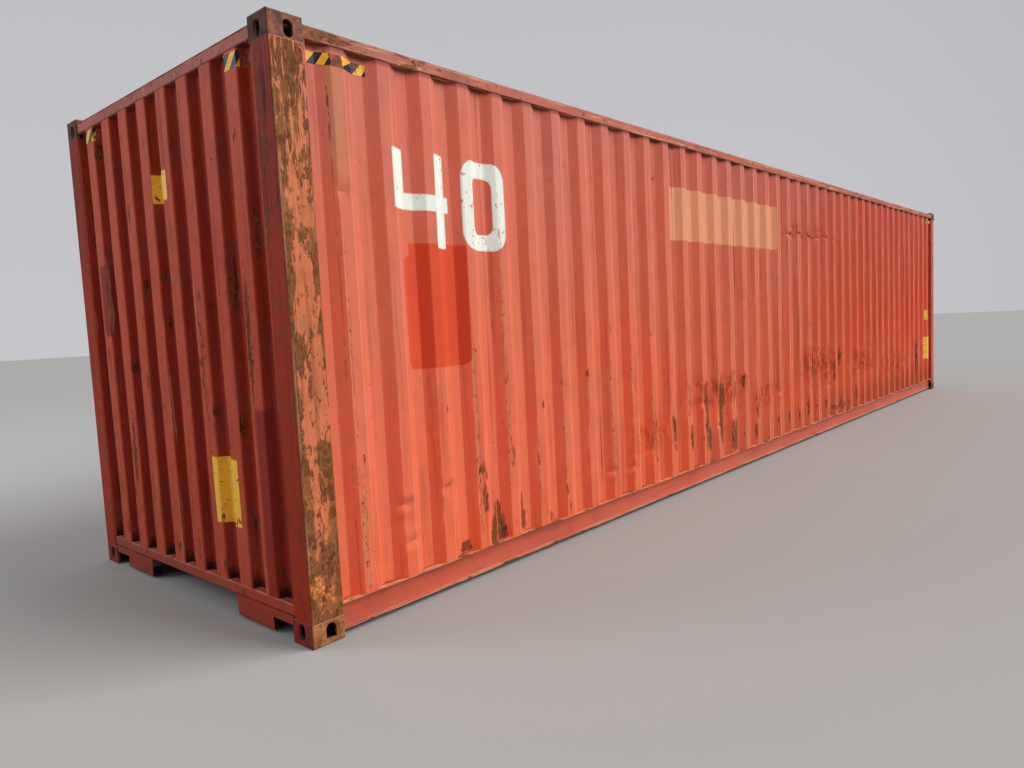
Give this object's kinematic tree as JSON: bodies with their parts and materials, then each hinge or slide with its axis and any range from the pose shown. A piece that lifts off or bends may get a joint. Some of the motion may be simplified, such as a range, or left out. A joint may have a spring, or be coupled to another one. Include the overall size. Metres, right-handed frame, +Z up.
{
  "type": "shipping container",
  "caption": "High cube dry freight container with corrugated steel walls, cast corner fittings, a gooseneck tunnel and two closed end doors with locking rods.",
  "frame": {"origin": "middle of the base, on the plane under the bottom castings", "axes": "+X along the container to the door end, +Y across it away from the pictured side, +Z up"},
  "size_m": [12.192, 2.438, 2.896],
  "materials": {
    "wall_paint": "weathered satin",
    "frame_paint": "weathered satin",
    "casting_paint": "worn paint over rust",
    "under_paint": "dull underseal",
    "hardware_steel": "dull zinc coating",
    "floor_wood": "oiled plywood",
    "seal_rubber": "matte"
  },
  "bodies": {
    "root": {"front_bottom_castings": "casting_paint", "front_top_castings": "casting_paint", "rear_bottom_castings": "casting_paint", "rear_top_castings": "casting_paint", "front_posts": "frame_paint", "rear_posts": "frame_paint", "rear_post_channels": "frame_paint", "top_side_rails": "frame_paint", "bottom_side_rails": "frame_paint", "front_top_rail": "frame_paint", "front_bottom_rail": "frame_paint", "front_bolsters": "frame_paint", "door_header": "frame_paint", "door_sill": "frame_paint", "front_wall": "wall_paint", "near_side_wall": "wall_paint", "far_side_wall": "wall_paint", "roof_sheet": "wall_paint", "roof_end_plates": "frame_paint", "roof_guard_plates": "frame_paint", "floor_boards": "floor_wood", "floor_keel": "under_paint", "cross_members": "under_paint", "tunnel_outriggers": "under_paint", "tunnel_plate": "under_paint", "tunnel_bows": "under_paint", "tunnel_tail": "under_paint", "near_door_panel": "wall_paint", "far_door_panel": "wall_paint", "near_door_frame": "frame_paint", "far_door_frame": "frame_paint", "near_lock_rods": "hardware_steel", "far_lock_rods": "hardware_steel", "rod_brackets": "hardware_steel", "cam_keepers": "frame_paint", "door_handles": "hardware_steel", "handle_catches": "hardware_steel", "near_hinges": "frame_paint", "far_hinges": "frame_paint", "near_door_seal": "seal_rubber", "far_door_seal": "seal_rubber"}
  },
  "joints": []
}
